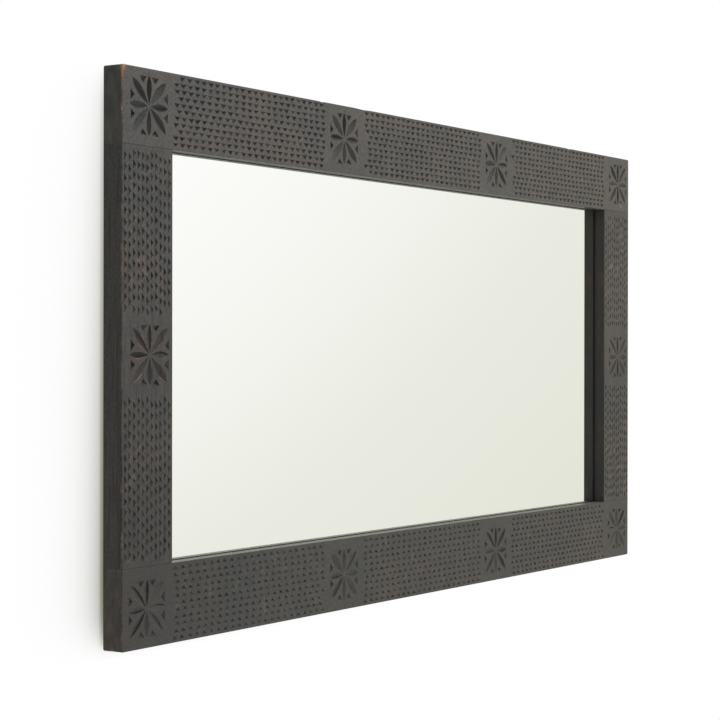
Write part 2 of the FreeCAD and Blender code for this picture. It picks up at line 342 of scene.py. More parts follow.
wood_end = {name: end_grain("stained_end_" + name, *colours) for name, colours in END_COLOURS.items()}
print(len(wood_end), "end grains made")

# %% [markdown]
# ## The plan of a board
# A board is worked in its own frame: X along it, Z from the outer edge to the glass, front face towards
# -Y. At the end it is turned about Y into its place, so one plan serves all four. Along its length there
# are rosettes, and between them fields with eleven rows of chips.

# %% Plan of a board
ROSETTE_ROOM = 61 * MM
CORNER_ROOM = 123 * MM
SEAM_ROOM = 5 * MM
OUTER_ROUND = 1.5 * MM
SIGHT_ROUND = 0.9 * MM
SEAM_ROUND = 0.5 * MM
CORNER_ROUND = 4 * MM


def rail_plan(low, high):
    """A rail has a rosette at each end and two between."""
    half = high.x
    third = CORNER_PLACE / 3
    return {"half": half, "width": high.z - low.z, "end_round": OUTER_ROUND, "corner": CORNER_ROUND,
            "rosettes": [-CORNER_PLACE, -third, third, CORNER_PLACE],
            "fields": [(CORNER_ROOM - half, -third - ROSETTE_ROOM),
                       (ROSETTE_ROOM - third, third - ROSETTE_ROOM),
                       (third + ROSETTE_ROOM, half - CORNER_ROOM)]}


def stile_plan(low, high):
    """A stile has one rosette at its middle."""
    half = (high.z - low.z) / 2
    return {"half": half, "width": high.x - low.x, "end_round": SEAM_ROUND, "corner": 0.0, "rosettes": [0.0],
            "fields": [(SEAM_ROOM - half, -ROSETTE_ROOM), (ROSETTE_ROOM, half - SEAM_ROOM)]}


plans = {"top_rail": rail_plan(top_low, top_high), "bottom_rail": rail_plan(bottom_low, bottom_high),
         "left_stile": stile_plan(left_low, left_high), "right_stile": stile_plan(right_low, right_high)}
for name, plan in plans.items():
    print(name, len(plan["rosettes"]), "rosettes,", len(plan["fields"]), "fields")

# %% [markdown]
# ## The border
# The flat front of a board starts as one rectangle. The outer corners of a rail are rounded a little, as
# hands and moving have done. The border is then divided into short edges, so that the arris can be worn
# and nicked.

# %% Border of the front
EDGE_STEP = 6 * MM
CORNER_STEPS = 4


def front_border(plan):
    """Closed border of the flat front in short edges, in a new bmesh."""
    bm = bmesh.new()
    bm.verts.layers.float.new("wear")
    bm.faces.layers.float.new("cut")
    low = Vector((plan["end_round"] - plan["half"], FRONT_Y, OUTER_ROUND))
    high = Vector((plan["half"] - plan["end_round"], FRONT_Y, plan["width"] - SIGHT_ROUND))
    place = Matrix.Translation((low + high) / 2) @ Matrix.Rotation(math.radians(90), 4, "X")
    spread = Matrix.Diagonal((high.x - low.x, high.z - low.z, 1, 1))
    bmesh.ops.create_grid(bm, x_segments=1, y_segments=1, size=0.5, matrix=place @ spread)
    if plan["corner"]:
        outer = [vert for vert in bm.verts if vert.co.z < plan["width"] / 2]
        bmesh.ops.bevel(bm, geom=outer, offset=plan["corner"] - OUTER_ROUND, segments=CORNER_STEPS,
                        profile=0.5, affect="VERTICES", material=-1)
    bmesh.ops.delete(bm, geom=list(bm.faces), context="FACES_ONLY")
    for edge in list(bm.edges):
        parts = int(edge.calc_length() / EDGE_STEP)
        if parts:
            bmesh.ops.subdivide_edges(bm, edges=[edge], cuts=parts)
    return bm


print("border ready")

# %% [markdown]
# ## Chips
# A chip is three cuts that meet at a point under the surface: a triangle whose middle is poked in. Its
# base lies towards the outer edge of the board and its point towards the glass. An array of one chip
# would be quicker to make, but all of them are cut by hand: every row starts where it likes, the pitch
# wanders, and each chip has its own size, depth and turn.

# %% One chip
CHIP_WIDTH = 17 * MM
CHIP_HEIGHT = 8.4 * MM
CHIP_HEIGHTS = (0.86, 1.0)
CHIP_DEPTHS = (0.55, 1.1)
CHIP_DRIFT = 0.25 * MM
CHIP_TURN = math.radians(3)
CHIP_LEAN = 0.3
POINT_SHIFT = 0.1
# How dark a chip's pit is: pooled stain and painted shade.
CHIP_STAIN_AND_SHADE = 0.5


def three_cuts(bm, corners, point, wears):
    """A pit of three faces between corners on the surface, each with its wear, and a point under it."""
    wear = bm.verts.layers.float["wear"]
    cut = bm.faces.layers.float["cut"]
    verts = bmesh.ops.create_circle(bm, cap_ends=True, segments=3, radius=1)["verts"]
    for vert, corner, worn in zip(verts, corners, wears):
        vert.co = corner
        vert[wear] = worn
    deepest = bmesh.ops.poke(bm, faces=list(verts[0].link_faces))["verts"][0]
    deepest.co = point
    for face in deepest.link_faces:
        face[cut] = CHIP_STAIN_AND_SHADE


def chip(bm, x, z, half, depth, worn, draw):
    """One chip of a field."""
    height = CHIP_HEIGHT * draw.uniform(*CHIP_HEIGHTS) * half / (CHIP_WIDTH / 2)
    middle = Vector((x, FRONT_Y, z + draw.uniform(-CHIP_DRIFT, CHIP_DRIFT)))
    turn = Matrix.Rotation(draw.uniform(-CHIP_TURN, CHIP_TURN), 3, "Y")
    lean = draw.uniform(-CHIP_LEAN, CHIP_LEAN) * half
    offsets = [(-half, 0, -height / 2), (half, 0, -height / 2), (lean, 0, height / 2)]
    point = (lean / 2 - POINT_SHIFT * half, depth * draw.uniform(*CHIP_DEPTHS),
             draw.uniform(-POINT_SHIFT, POINT_SHIFT) * height)
    corners = [middle + turn @ Vector(offset) for offset in offsets]
    three_cuts(bm, corners, middle + turn @ Vector(point), [worn * draw.random() for corner in corners])


print("chip cutter ready")

# %% Rows of chips
ROWS = 11
ROW_MARGIN = 2.5 * MM
ROW_START = 9 * MM
ROW_SWAY = 0.35 * MM
SWAYS_PER_METRE = 1.4
CHIP_DEPTH = 3.6 * MM
CHIP_GAP = 0.6 * MM
CHIP_SIZES = (0.84, 1.0)
PITCHES = (0.93, 1.06)
Chips = namedtuple("Chips", "pitch size depths worn")


def chip_fields(bm, plan, draw, chips):
    """Rows of chips in all the fields of a board, each field with its depth. Returns how many."""
    row_height = (plan["width"] - 2 * ROW_MARGIN) / ROWS
    count = 0
    for (start, end), depth in zip(plan["fields"], chips.depths):
        for row in range(ROWS):
            phase = draw.uniform(0, 2 * math.pi)
            half = chips.size * draw.uniform(*CHIP_SIZES) * CHIP_WIDTH / 2
            x = start + half + draw.uniform(0, ROW_START)
            while x + half < end:
                sway = ROW_SWAY * math.sin(2 * math.pi * SWAYS_PER_METRE * x + phase)
                z = ROW_MARGIN + row_height * (row + 0.5) + sway
                chip(bm, x, z, half, depth * CHIP_DEPTH, chips.worn, draw)
                count += 1
                next_half = chips.size * draw.uniform(*CHIP_SIZES) * CHIP_WIDTH / 2
                x += max(chips.pitch * draw.uniform(*PITCHES), half + next_half + CHIP_GAP)
                half = next_half
    return count


print(ROWS, "rows of chips in a field")

# %% [markdown]
# ## Grooves
# A rosette is eight lens-shaped grooves around a small plain heart. A sharp V cut into a solid by a
# Boolean would have hard rims all round, but here the rims are worn. So a groove starts as a grid seven
# rows of points wide: the outer rows are its outline on the face, the next two on each side make a narrow
# worn lip, and the middle row is the bottom of the V. `GROOVE_ROWS` gives each row, from the bottom out,
# its share of half the width and its depth.

# %% Grooves
MERGE_GAP = 0.01 * MM
HEART = 3 * MM
GROOVE_DEPTH = 4.5 * MM
GROOVE_STEPS = 12
GROOVE_CELLS = 6
FULLNESS = 0.8
SWELL_OUT = 1.25
LIP_DEPTH = 0.4 * MM
LIP_ROW = 2
LIP_WEAR = (0.4, 1.0)
LIP_FADE = 3
# How dark a groove's walls are: pooled stain and painted shade, more on the steeper wall and deeper groove.
GROOVE_STAIN_AND_SHADE = 0.5
GROOVE_BEND = 0.35 * MM
GROOVE_LEANS = (0.7, 1.0)
GROOVE_REACH = (-1.5 * MM, 1.0 * MM)
GROOVE_ROWS = {0: (0, GROOVE_DEPTH), 1: (0.82, 2.3 * LIP_DEPTH), LIP_ROW: (0.93, LIP_DEPTH), 3: (1, 0)}


def groove(bm, place, reach, width, depth, lean, worn, draw):
    """One lens-shaped groove along X of the place given. Its bottom lies off the middle by a share of up to
    lean, and the steeper wall is darker: more pooled stain and painted shade."""
    wear = bm.verts.layers.float["wear"]
    cut = bm.faces.layers.float["cut"]
    verts = bmesh.ops.create_grid(bm, x_segments=GROOVE_STEPS, y_segments=GROOVE_CELLS, size=0.5)["verts"]
    bend = draw.uniform(-GROOVE_BEND, GROOVE_BEND)
    bottom = draw.choice((-1, 1)) * draw.uniform(*GROOVE_LEANS) * lean
    reach += draw.uniform(*GROOVE_REACH)
    for face in {face for vert in verts for face in vert.link_faces}:
        steep = math.copysign(bottom, bottom * face.calc_center_median().y)
        face[cut] = GROOVE_STAIN_AND_SHADE * depth * (1 + steep)
    for vert in verts:
        step = vert.co.x + 0.5
        row = round(vert.co.y * GROOVE_CELLS)
        side, sink = GROOVE_ROWS[abs(row)]
        share = step ** SWELL_OUT
        swell = (4 * share * (1 - share)) ** FULLNESS
        if abs(row) == LIP_ROW:
            vert[wear] = worn * draw.uniform(*LIP_WEAR) * min(1.0, LIP_FADE * swell)
        side = math.copysign(side, row) if row else bottom
        across = (side * width / 2 + bend) * swell
        vert.co = place @ Vector((HEART + step * (reach - HEART), depth * sink * swell, across))
    bmesh.ops.remove_doubles(bm, verts=verts, dist=MERGE_GAP)


print("groove cutter ready")

# %% [markdown]
# ## Rosettes
# The diagonal grooves are longer than the straight ones, and two triangular chips stand on each side of
# the rosette's square. A side chip has a worn lip too: its triangle is inset before it is poked. One
# quarter could be made and turned three times, but no two cuts of a carved rosette are alike, so each is
# drawn anew.

# %% Side chips
SIDE_CHIP_BASE = 18.5 * MM
SIDE_CHIP_HEIGHT = 10 * MM
SIDE_CHIP_OFFSET = 14.5 * MM
SIDE_CHIP_REACH = 44.5 * MM
SIDE_CHIP_DEPTH = 4.2 * MM
SIDE_CHIP_LIP = 0.5 * MM
SIDE_CHIP_LEAN = 0.5
SIDE_CHIP_SIZES = (0.85, 1.0)
SIDE_CHIP_SHIFT = 1 * MM
SIDE_CHIP_WEAR = (0.0, 0.25)


def side_chip(bm, place, offset, depth, worn, draw):
    """One triangular chip, its base along the square's side and its point towards the heart."""
    wear = bm.verts.layers.float["wear"]
    cut = bm.faces.layers.float["cut"]
    corners = bmesh.ops.create_circle(bm, cap_ends=True, segments=3, radius=1)["verts"]
    half = SIDE_CHIP_BASE / 2 * draw.uniform(*SIDE_CHIP_SIZES)
    high = SIDE_CHIP_REACH + draw.uniform(-SIDE_CHIP_SHIFT, SIDE_CHIP_SHIFT)
    spots = [(offset - half, high), (offset + half, high), (offset, high - SIDE_CHIP_HEIGHT)]
    for vert, (x, z) in zip(corners, spots):
        vert.co = place @ Vector((x, 0, z))
    face = corners[0].link_faces[0]
    face.normal_update()
    bmesh.ops.inset_individual(bm, faces=[face], thickness=SIDE_CHIP_LIP)
    sink = place.to_3x3() @ Vector((0, 1, 0))
    for vert in face.verts:
        vert.co += sink * LIP_DEPTH * depth
        vert[wear] = worn * draw.uniform(*SIDE_CHIP_WEAR)
    point = bmesh.ops.poke(bm, faces=[face])["verts"][0]
    point.co += sink * (SIDE_CHIP_DEPTH - LIP_DEPTH) * depth + (corners[2].co - point.co) * SIDE_CHIP_LEAN
    for face in point.link_faces:
        face[cut] = CHIP_STAIN_AND_SHADE


print("side chip cutter ready")

# %% Rosettes
STRAIGHT_REACH = 46 * MM
STRAIGHT_WIDTH = 12 * MM
DIAGONAL_REACH = 57 * MM
DIAGONAL_WIDTH = 14.5 * MM
PETALS = ((0, STRAIGHT_REACH, STRAIGHT_WIDTH), (45, DIAGONAL_REACH, DIAGONAL_WIDTH))
PETAL_SWING = 1.2
PETAL_DEPTHS = (0.8, 1.15)
PETAL_WIDTHS = (0.92, 1.04)
Rosette = namedtuple("Rosette", "right up size depth lean worn")


def cut_rosette(bm, x, z, shape, draw):
    """All the cuts of one rosette around a place on the front."""
    centre = Matrix.Translation((x, FRONT_Y, z)) @ Matrix.Diagonal((shape.size, 1, shape.size, 1))
    for quarter in range(4):
        square = centre @ Matrix.Rotation(math.radians(90 * quarter), 4, "Y")
        for degrees, reach, width in PETALS:
            angle = math.radians(degrees + draw.uniform(-PETAL_SWING, PETAL_SWING))
            petal = square @ Matrix.Rotation(angle, 4, "Y")
            deep = shape.depth * draw.uniform(*PETAL_DEPTHS)
            wide = width * draw.uniform(*PETAL_WIDTHS)
            groove(bm, petal, reach, wide, deep, shape.lean, shape.worn, draw)
        for side in (-1, 1):
            side_chip(bm, square, side * SIDE_CHIP_OFFSET, shape.depth, shape.worn, draw)


print(4 * len(PETALS), "petals in a rosette")

# %% [markdown]
# ## Arrises, sides and back
# When the border and all the cuts are drawn, one scan-fill closes the flat between them. Then the sheet
# becomes a board by extruding its border: three short steps turn the arris, the next goes a few
# millimetres down the side, where the rubbed edge fades out, and the last reaches the back, which is
# closed with one face. A bevel would be shorter to write, but its width would be the same everywhere.
# Here each border point keeps how far it moves outwards and how deep it is nicked, and an extrusion
# copies both. Outer edges are rubbed more than the edges at the glass and at the seams.

# %% The flat and its edge
def close_front(bm):
    """Fill the flat between the border and the outlines of all cuts."""
    outlines = [edge for edge in bm.edges if len(edge.link_faces) < 2]
    bmesh.ops.triangle_fill(bm, edges=outlines, use_beauty=True, normal=(0, -1, 0))


def outward(plan, place):
    """How far the arris reaches out along X, down along Y and out along Z from this place of the border."""
    centre_x = math.copysign(plan["half"] - plan["corner"], place.x)
    spoke = Vector((place.x - centre_x, 0, place.z - plan["corner"]))
    if plan["corner"] and spoke.x * place.x > -MERGE_GAP and spoke.z < MERGE_GAP:
        spoke = spoke.normalized() * OUTER_ROUND
        return Vector((spoke.x, OUTER_ROUND, spoke.z))
    at_end = abs(place.x) > plan["half"] - plan["end_round"] - MERGE_GAP
    x = math.copysign(plan["end_round"], place.x) if at_end else 0.0
    z = 0.0
    if place.z < OUTER_ROUND + MERGE_GAP:
        z = -OUTER_ROUND
    if place.z > plan["width"] - SIGHT_ROUND - MERGE_GAP:
        z = SIGHT_ROUND
    return Vector((x, max(abs(x), abs(z)), z))


def points_of(made):
    """The points among what an operator made."""
    return [item for item in made if isinstance(item, bmesh.types.BMVert)]


def grown_border(bm):
    """Extrude the open border in place. Returns the new points."""
    border = [edge for edge in bm.edges if edge.is_boundary]
    return points_of(bmesh.ops.extrude_edge_only(bm, edges=border)["geom"])


print("fill and border ready")

# %% From a carved front to a board
ARRIS_TURNS = (30, 60, 90)
FADE_DEPTH = 4 * MM
FLAT_WEAR = (0.1, 0.3)
ARRIS_WEAR = (0.5, 1.0)
SHELTERED = 0.3
Nick = namedtuple("Nick", "x depth half")


def wrap_board(bm, plan, draw, nicks):
    """Round the border over, and take it down the sides to a closed back."""
    wear = bm.verts.layers.float["wear"]
    reach = bm.verts.layers.float_vector.new("reach")
    nicked = bm.verts.layers.float.new("nicked")
    for vert in dict.fromkeys(vert for edge in bm.edges if edge.is_boundary for vert in edge.verts):
        vert[reach] = outward(plan, vert.co)
        vert[wear] = draw.uniform(*FLAT_WEAR)
        if vert[reach].z < 0:
            vert[nicked] = sum(nick.depth * max(0.0, 1 - abs(vert.co.x - nick.x) / nick.half)
                               for nick in nicks)
    turned = 0.0
    for degrees in ARRIS_TURNS:
        turn = math.radians(degrees)
        out = math.sin(turn) - math.sin(turned)
        down = math.cos(turned) - math.cos(turn)
        for vert in grown_border(bm):
            dent = vert[nicked] / len(ARRIS_TURNS)
            vert.co += Vector((vert[reach].x * out, vert[reach].y * down, vert[reach].z * out + dent))
            outer = vert[reach].z < 0 or plan["corner"] and vert[reach].x
            vert[wear] = draw.uniform(*ARRIS_WEAR) * (1.0 if outer else SHELTERED)
        turned = turn
    for depth, rise in ((FRONT_Y + FADE_DEPTH, 0.0), (BACK_Y, 1.0)):
        for vert in grown_border(bm):
            vert.co.y = depth
            vert.co.z -= rise * vert[nicked]
            vert[wear] = 0.0
    bm.verts.layers.float_vector.remove(reach)
    bm.verts.layers.float.remove(bm.verts.layers.float["nicked"])
    bmesh.ops.edgeloop_fill(bm, edges=[edge for edge in bm.edges if edge.is_boundary])
    bmesh.ops.recalc_face_normals(bm, faces=bm.faces)


print("board wrapper ready")

# %% [markdown]
# ## The stepped rebate
# Behind the lip each board is rebated for the glass and, one step further out, for the backing board. One
# stepped block fills both rebates of the whole frame: a box for the backing, with its front face inset
# and drawn forward for the glass. A Boolean takes it away from each board, which keeps the four rebates
# in line.

# %% Rebate block
BACKING_GAP = 1 * MM
GLASS_GAP = 1.5 * MM
BEHIND = 5 * MM


def mesh_from(bm, name):
    """A mesh with what the bmesh holds, which is freed."""
    mesh = bpy.data.meshes.new(name)
    bm.to_mesh(mesh)
    bm.free()
    return mesh


def put_in_scene(name, data):
    """A new object of the scene."""
    made = bpy.data.objects.new(name, data)
    bpy.context.scene.collection.objects.link(made)
    return made


def rebate_block():
    """Block that fills the rebates of glass and backing board."""
    low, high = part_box("backing_board")
    low = low - Vector((BACKING_GAP, 0, BACKING_GAP))
    high = high + Vector((BACKING_GAP, BEHIND, BACKING_GAP))
    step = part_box("mirror_pane")[0].x - GLASS_GAP - low.x
    bm = bmesh.new()
    spread = Matrix.Diagonal(high - low).to_4x4()
    bmesh.ops.create_cube(bm, size=1, matrix=Matrix.Translation((low + high) / 2) @ spread)
    front = min(bm.faces, key=lambda face: face.calc_center_median().y)
    bmesh.ops.inset_region(bm, faces=[front], thickness=step)
    made = bmesh.ops.extrude_face_region(bm, geom=[front])["geom"]
    bmesh.ops.delete(bm, geom=[front], context="FACES_ONLY")
    bmesh.ops.translate(bm, verts=points_of(made), vec=(0, LIP_Y - BACKING_Y, 0))
    bmesh.ops.recalc_face_normals(bm, faces=bm.faces)
    return put_in_scene("rebate_block", mesh_from(bm, "rebate_block"))


rebate = rebate_block()
print("rebate block has", len(rebate.data.polygons), "faces")

# %% [markdown]
# ## Where hands rub
# The stain is rubbed most along the left side, more so towards the top, where the frame is carried, and
# at a few spots. This share multiplies the wear that the arrises and lips already have.

# %% Rubbing
RUB_LEAST = 0.45
RUB_LEFT = 0.38
RUB_AT_MIDDLE = 0.5
RUBBED_SPOTS = (((-0.9, 0.45), 40 * MM, 0.55), ((-0.9, 0.38), 9 * MM, 0.9), ((-0.9, -0.3), 30 * MM, 0.5))


def clamped(share):
    """A share kept from 0 to 1."""
    return max(0.0, min(1.0, share))


def rub(point):
    """How much hands have rubbed this place. Along the left side it grows with the height in metres."""
    near_left = clamped((left_high.x - point.x) / STILE_WIDTH)
    height = clamped(RUB_AT_MIDDLE + point.z)
    spots = 0.0
    for place, span, more in RUBBED_SPOTS:
        spots += more * max(0.0, 1 - math.dist((point.x, point.z), place) / span)
    return RUB_LEAST + RUB_LEFT * near_left * height + spots


print(len(RUBBED_SPOTS), "rubbed spots")

# %% [markdown]
# ## From a mesh to a piece
# A finished piece is shaded smooth with its sharp edges kept, rides on a body of the CAD model and stands
# for one of its nodes. `without_rebate` runs the Boolean of a board and keeps its result, so no modifier
# stays live.

# %% Pieces
def add_piece(name, mesh, finishes, body, slot, sharp, *replaced):
    """Put a mesh in the scene as a piece that rides on a body and stands for CAD nodes."""
    for finish in finishes:
        mesh.materials.append(finish)
    mesh.shade_smooth()
    mesh.set_sharp_from_angle(angle=sharp)
    piece = put_in_scene(name, mesh)
    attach(piece, body)
    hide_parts(*replaced)


def without_rebate(bm, name):
    """The board's mesh with the stepped block taken away."""
    whole = put_in_scene("whole_" + name, mesh_from(bm, "whole_" + name))
    taken = whole.modifiers.new("rebate", "BOOLEAN")
    taken.operation = "DIFFERENCE"
    taken.solver = "EXACT"
    taken.object = rebate
    cut_mesh = bpy.data.meshes.new_from_object(whole.evaluated_get(bpy.context.evaluated_depsgraph_get()))
    bpy.data.objects.remove(whole)
    cut_mesh.materials.clear()
    return cut_mesh


print("piece maker ready")

# %% [markdown]
# ## The four boards
# Each board is drawn with its own seed, so the hand of the carver differs from board to board and is the
# same in every run. Each field has its own depth of cut, and the bottom rail is cut shallower than the
# top one. No rosette sits quite in the middle of its square: its shifts are in millimetres to the right
# and upwards as the mirror hangs. The ends of a rail and the edges at the glass get their own finishes.

# %% Carve a board
BOARD_SHARP = math.radians(14)
END_FINISH = 1
REVEAL_FINISH = 2


def finish_faces(mesh, plan, place):
    """Give the ends of a board and its edge at the glass their own finishes."""
    into_plan = place.inverted()
    for polygon in mesh.polygons:
        middle = into_plan @ polygon.center
        if abs(middle.x) > plan["half"] - MERGE_GAP:
            polygon.material_index = END_FINISH
        if middle.z > plan["width"] - MERGE_GAP:
            polygon.material_index = REVEAL_FINISH


def carved_board(name, place, seed, chips, rosettes, nicks=()):
    """One board, carved, rebated and set in its place."""
    plan = plans[name]
    draw = random.Random(seed)
    bm = front_border(plan)
    count = chip_fields(bm, plan, draw, chips)
    into_board = place.to_3x3().inverted()
    for x, shape in zip(plan["rosettes"], rosettes):
        shift = into_board @ Vector((shape.right * MM, 0, shape.up * MM))
        cut_rosette(bm, x + shift.x, plan["width"] / 2 + shift.z, shape, draw)
    close_front(bm)
    wrap_board(bm, plan, draw, nicks)
    bmesh.ops.transform(bm, matrix=place, verts=bm.verts)
    wear = bm.verts.layers.float["wear"]
    for vert in bm.verts:
        vert[wear] *= rub(vert.co)
    flaws = sum(len(edge.link_faces) != 2 for edge in bm.edges)
    mesh = without_rebate(bm, name)
    end, reveal = (wood_end[name], rail_reveal_sheen) if plan["corner"] else (wood[name], stile_reveal)
    finishes = [wood[name], end, reveal]
    add_piece("carved_" + name, mesh, finishes, "frame", "dark_stained_wood", BOARD_SHARP, name)
    finish_faces(mesh, plan, place)
    print("carved_" + name, count, "chips,", len(mesh.polygons), "faces,", flaws, "flaws")


def turned(degrees, x, z):
    """Place of a board: turned about Y, with its outer edge at X and Z."""
    return Matrix.Translation((x, 0, z)) @ Matrix.Rotation(math.radians(degrees), 4, "Y")


print("carver ready")

# %% The rails
carved_board("top_rail", turned(180, 0, top_high.z), seed=31,
             chips=Chips(pitch=18.2 * MM, size=1.0, depths=(0.86, 0.96, 1.0), worn=0.6),
             rosettes=[Rosette(right=6, up=0, size=1.0, depth=0.85, lean=0.4, worn=2.4),
                       Rosette(right=-1, up=0, size=1.0, depth=1.05, lean=0.3, worn=1.7),
                       Rosette(right=-3, up=1, size=1.0, depth=1.1, lean=0.25, worn=1.1),
                       Rosette(right=3, up=2, size=1.03, depth=1.15, lean=0.25, worn=0.9)],
             nicks=[Nick(x=0.354, depth=1.8 * MM, half=7 * MM), Nick(x=0.22, depth=1.3 * MM, half=26 * MM),
                    Nick(x=-0.601, depth=1.8 * MM, half=9 * MM)])
carved_board("bottom_rail", turned(0, 0, bottom_low.z), seed=22,
             chips=Chips(pitch=19 * MM, size=0.84, depths=(0.7, 0.84, 1.0), worn=0.6),
             rosettes=[Rosette(right=-2, up=-2, size=1.0, depth=0.62, lean=0.65, worn=1.2),
                       Rosette(right=-2, up=0, size=1.0, depth=0.7, lean=0.6, worn=1.1),
                       Rosette(right=-2, up=-3, size=1.0, depth=0.72, lean=0.6, worn=1.1),
                       Rosette(right=2, up=0, size=1.0, depth=0.72, lean=0.6, worn=1.1)])

# %% The stiles
stile_middle = (left_low.z + left_high.z) / 2
carved_board("left_stile", turned(90, left_low.x, stile_middle), seed=13,
             chips=Chips(pitch=17 * MM, size=0.95, depths=(0.88, 0.66), worn=0.55),
             rosettes=[Rosette(right=5, up=2, size=1.06, depth=1.05, lean=0.35, worn=3.2)])
carved_board("right_stile", turned(-90, right_high.x, stile_middle), seed=14,
             chips=Chips(pitch=17 * MM, size=0.9, depths=(0.8, 0.64), worn=0.8),
             rosettes=[Rosette(right=6, up=-3, size=1.0, depth=0.6, lean=0.55, worn=1.3)])
bpy.data.objects.remove(rebate)

# %% [markdown]
# ## Glass and glazing strip
# A mirror is a metal film behind clear glass. From the front only the film's reflection shows, with the
# faint green of the glass. Both layers could be built, but a metallic shader with almost no roughness
# gives the same picture with less noise. A trace of smudging keeps it from looking like a hole. The strip
# between lip and glass is matt black with a little dust, and `clouded` makes it and the other plain
# finishes, each from two colours and one noise.

# %% Glass and strips
MIRROR_TINT = (0.97, 0.975, 0.957, 1)
SMUDGES = {"scale": 9, "detail": 5}
SMUDGE_SPREAD = (0.45, 0.75, 0.0, 0.03)
STRIP_BLACK = (0.012, 0.012, 0.012, 1)
STRIP_GREY = (0.02, 0.02, 0.019, 1)
DUST = {"scale": 180, "detail": 3}
DUST_SPREAD = (0.4, 0.7)


def silvered_glass():
    """Clean mirror glass with a trace of smudging."""
    material, tree, shader = new_finish("silvered_glass", Metallic=1.0, Base_Color=MIRROR_TINT)
    smudges = between(tree, noise_on(tree, **SMUDGES), *SMUDGE_SPREAD)
    tree.links.new(smudges, shader.inputs["Roughness"])
    return material


def clouded(name, dark, light, noise, spread, raised=(), dulled=(), **sockets):
    """A finish from a dark colour to a light one with a noise. The noise can also raise the surface, by a
    strength and a height, and spread its roughness."""
    material, tree, shader = new_finish(name, **sockets)
    pattern = noise_on(tree, **noise)
    colour = blend_colours(tree, between(tree, pattern, *spread), dark, light)
    tree.links.new(colour, shader.inputs["Base Color"])
    if raised:
        relief(tree, shader, pattern, *raised)
    if dulled:
        tree.links.new(between(tree, pattern, *dulled), shader.inputs["Roughness"])
    return material


def dress(node, finish):
    """Give a CAD node's object this material alone."""
    materials = nodes[node].data.materials
    materials.clear()
    materials.append(finish)


dress("mirror_pane", silvered_glass())
strip_finish = clouded("glazing_black", STRIP_BLACK, STRIP_GREY, DUST, DUST_SPREAD, Roughness=0.6,
                       Specular_IOR_Level=0.15)
for edge in ("top", "bottom", "left", "right"):
    dress("glazing_strip_" + edge, strip_finish)
print("glass and strips dressed")

# %% [markdown]
# ## Backing board and hidden tenons
# The backing is plain hardboard: pressed brown fibre, smooth on this side, with darker flecks in soft
# clouds. The tenons inside the corner joints are bare hardwood and are never seen, but they get their own
# finish too. The middle stretch of a noise, `MIDDLE_SPREAD`, blends from the darker colour to the lighter
# one.

# %% Hardboard and hardwood
SIDES = ("left", "right")
CORNERS = [level + "_" + side for level in ("top", "bottom") for side in SIDES]
FIBRE_DARK = (0.13, 0.072, 0.036, 1)
FIBRE_LIGHT = (0.25, 0.15, 0.082, 1)
HARDWOOD_DARK = (0.42, 0.25, 0.12, 1)
HARDWOOD_LIGHT = (0.6, 0.4, 0.22, 1)
MIDDLE_SPREAD = (0.3, 0.7)
FLECKS = {"scale": 420, "detail": 4, "rough": 0.7}
FLECK_SPREAD = (*MIDDLE_SPREAD, 0.0, 0.75)
FIBRE_CLOUDS = {"scale": 6, "detail": 3}
FIBRE_CLOUD_SPREAD = (*MIDDLE_SPREAD, 0.0, 0.35)
HARDWOOD_GRAIN = {"scale": 160, "stretch": (1, 1, 0.06)}
FIBRE_RELIEF = (0.25, 0.3 * MM)
HARDWOOD_RELIEF = (0.2, 0.3 * MM)


def hardboard():
    """Pressed fibre board."""
    material, tree, shader = new_finish("hardboard", Roughness=0.72)
    flecks = noise_on(tree, **FLECKS)
    clouds = between(tree, noise_on(tree, **FIBRE_CLOUDS), *FIBRE_CLOUD_SPREAD)
    tone = joined(tree, between(tree, flecks, *FLECK_SPREAD), clouds, "ADD")
    tree.links.new(blend_colours(tree, tone, FIBRE_DARK, FIBRE_LIGHT), shader.inputs["Base Color"])
    relief(tree, shader, flecks, *FIBRE_RELIEF)
    return material


dress("backing_board", hardboard())
tenon_finish = clouded("bare_hardwood", HARDWOOD_DARK, HARDWOOD_LIGHT, HARDWOOD_GRAIN, MIDDLE_SPREAD,
                       HARDWOOD_RELIEF, Roughness=0.6)
for corner in CORNERS:
    dress("loose_tenon_" + corner, tenon_finish)
print("back and tenons dressed")

# %% [markdown]
# ## Zinc-plated steel
# Straps, rings and screws are mild steel with a thin zinc plate: bright grey, slightly cloudy, not
# polished. The same clouds set the colour and the roughness, because the plate is duller where it is
# paler.

# %% Steel
ZINC_DARK = (0.46, 0.47, 0.48, 1)
ZINC_LIGHT = (0.68, 0.69, 0.68, 1)
ZINC_CLOUDS = {"scale": 160, "rough": 0.6}
ZINC_ROUGHNESS = (*MIDDLE_SPREAD, 0.28, 0.44)
steel = clouded("zinc_plate", ZINC_DARK, ZINC_LIGHT, ZINC_CLOUDS, MIDDLE_SPREAD, dulled=ZINC_ROUGHNESS,
                Metallic=1.0)
for side in SIDES:
    dress("hanger_strap_" + side, steel)
print("straps dressed")

# %% [markdown]
# ## Screws
# The CAD screws are eight-sided. A cylinder and a dome could be joined, but here each screw is turned: half
# a profile is spun about its axis, which gives head, shank and point in one skin. A pair in
# `HEAD_PROFILE` is a share of the head's radius and how far down from its top, as a share of its height.
# The flat on top of the head takes a cross recess, which starts as a grid of nine unit cells without its
# four corners.

# %% Cross recess
RECESS_ARM = 0.32
RECESS_SLOT = 0.09
RECESS_DEPTH = 0.22
RECESS_TAPER = 0.7


